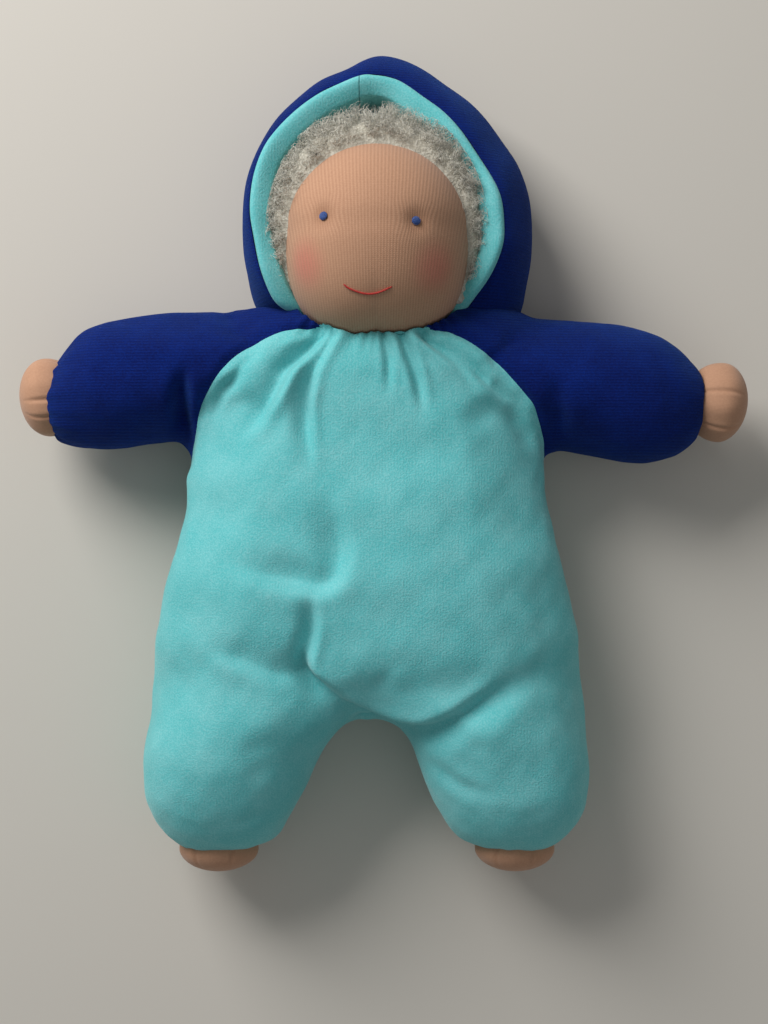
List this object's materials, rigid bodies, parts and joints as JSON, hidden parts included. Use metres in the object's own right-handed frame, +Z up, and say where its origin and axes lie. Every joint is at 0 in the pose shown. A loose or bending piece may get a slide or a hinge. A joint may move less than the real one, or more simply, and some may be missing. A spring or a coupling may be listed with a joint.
{
  "type": "waldorf doll",
  "caption": "Soft cloth doll lying on its back, in a hooded romper suit with raglan sleeves, round head, curly wig and stuffed hands and feet.",
  "frame": {"origin": "bottom centre of the doll's box as it lies on its back, on the surface under it", "axes": "+Y from the feet to the hood's tip, +Z up from the back to the face, +X to the doll's left hand"},
  "size_m": [0.3134, 0.35, 0.0891],
  "materials": {
    "mint_velour": "cotton nicki velour, soft low nap",
    "blue_velour": "cotton nicki velour, soft low nap",
    "peach_jersey": "fine cotton doll tricot, knit wales",
    "wool": "carded sheep's wool",
    "gauze": "tubular cotton gauze",
    "mohair": "curly mohair boucle",
    "blue_yarn": "stranded embroidery cotton",
    "red_yarn": "stranded embroidery cotton",
    "tie_thread": "strong linen thread"
  },
  "bodies": {
    "torso": {"trunk_stuffing": "wool", "neckline_thread": "tie_thread", "suit_front_panel": "mint_velour", "suit_back_panel": "mint_velour", "raglan_shoulder_left": "blue_velour", "raglan_shoulder_right": "blue_velour"},
    "neck": {"neck_stuffing": "wool"},
    "head": {"head_wool_ball": "wool", "head_gauze_tube": "gauze", "eye_line_thread": "tie_thread", "head_skin": "peach_jersey", "wig": "mohair", "eye_left": "blue_yarn", "eye_right": "blue_yarn", "mouth_stitch": "red_yarn"},
    "hood": {"hood_outer_left": "blue_velour", "hood_outer_right": "blue_velour", "hood_lining_left": "mint_velour", "hood_lining_right": "mint_velour"},
    "shoulder_left": {"shoulder_stuffing_left": "wool"},
    "shoulder_right": {"shoulder_stuffing_right": "wool"},
    "arm_left": {"sleeve_left": "blue_velour", "arm_stuffing_left": "wool", "hand_skin_left": "peach_jersey", "hand_stuffing_left": "wool", "hand_tie_left": "tie_thread", "cuff_thread_left": "tie_thread"},
    "arm_right": {"sleeve_right": "blue_velour", "arm_stuffing_right": "wool", "hand_skin_right": "peach_jersey", "hand_stuffing_right": "wool", "hand_tie_right": "tie_thread", "cuff_thread_right": "tie_thread"},
    "leg_left": {"trouser_leg_left": "mint_velour", "leg_stuffing_left": "wool", "foot_skin_left": "peach_jersey", "foot_stuffing_left": "wool", "foot_tie_left": "tie_thread", "hem_thread_left": "tie_thread"},
    "leg_right": {"trouser_leg_right": "mint_velour", "leg_stuffing_right": "wool", "foot_skin_right": "peach_jersey", "foot_stuffing_right": "wool", "foot_tie_right": "tie_thread", "hem_thread_right": "tie_thread"}
  },
  "joints": [
    {"name": "neck_nod", "type": "hinge", "parent": "torso", "child": "neck", "pos_m": [0, 0.056, 0.0495], "axis": [1, 0, 0], "range_deg": [0, 22], "stiffness_Nm_per_rad": 0.15},
    {"name": "head_turn", "type": "hinge", "parent": "neck", "child": "head", "pos_m": [0, 0.056, 0.0495], "axis": [0, 1, 0], "range_deg": [-30, 30], "stiffness_Nm_per_rad": 0.05},
    {"name": "hood_push_back", "type": "hinge", "parent": "torso", "child": "hood", "pos_m": [0, 0.057, 0.001], "axis": [-1, 0, 0], "range_deg": [0, 60]},
    {"name": "arm_swing_left", "type": "hinge", "parent": "torso", "child": "shoulder_left", "pos_m": [0.074, 0.034, 0.0306], "axis": [0, 0, 1], "range_deg": [-25, 40], "stiffness_Nm_per_rad": 0.1},
    {"name": "arm_fold_left", "type": "hinge", "parent": "shoulder_left", "child": "arm_left", "pos_m": [0.074, 0.034, 0.0306], "axis": [0, -1, 0], "range_deg": [-15, 45], "stiffness_Nm_per_rad": 0.1},
    {"name": "arm_swing_right", "type": "hinge", "parent": "torso", "child": "shoulder_right", "pos_m": [-0.074, 0.034, 0.0306], "axis": [0, 0, -1], "range_deg": [-25, 40], "stiffness_Nm_per_rad": 0.1},
    {"name": "arm_fold_right", "type": "hinge", "parent": "shoulder_right", "child": "arm_right", "pos_m": [-0.074, 0.034, 0.0306], "axis": [0, 1, 0], "range_deg": [-15, 45], "stiffness_Nm_per_rad": 0.1},
    {"name": "leg_bend_left", "type": "hinge", "parent": "torso", "child": "leg_left", "pos_m": [0.05, -0.118, 0.035], "axis": [-1, 0, 0], "range_deg": [-15, 60], "stiffness_Nm_per_rad": 0.2},
    {"name": "leg_bend_right", "type": "hinge", "parent": "torso", "child": "leg_right", "pos_m": [-0.05, -0.118, 0.035], "axis": [-1, 0, 0], "range_deg": [-15, 60], "stiffness_Nm_per_rad": 0.2}
  ]
}
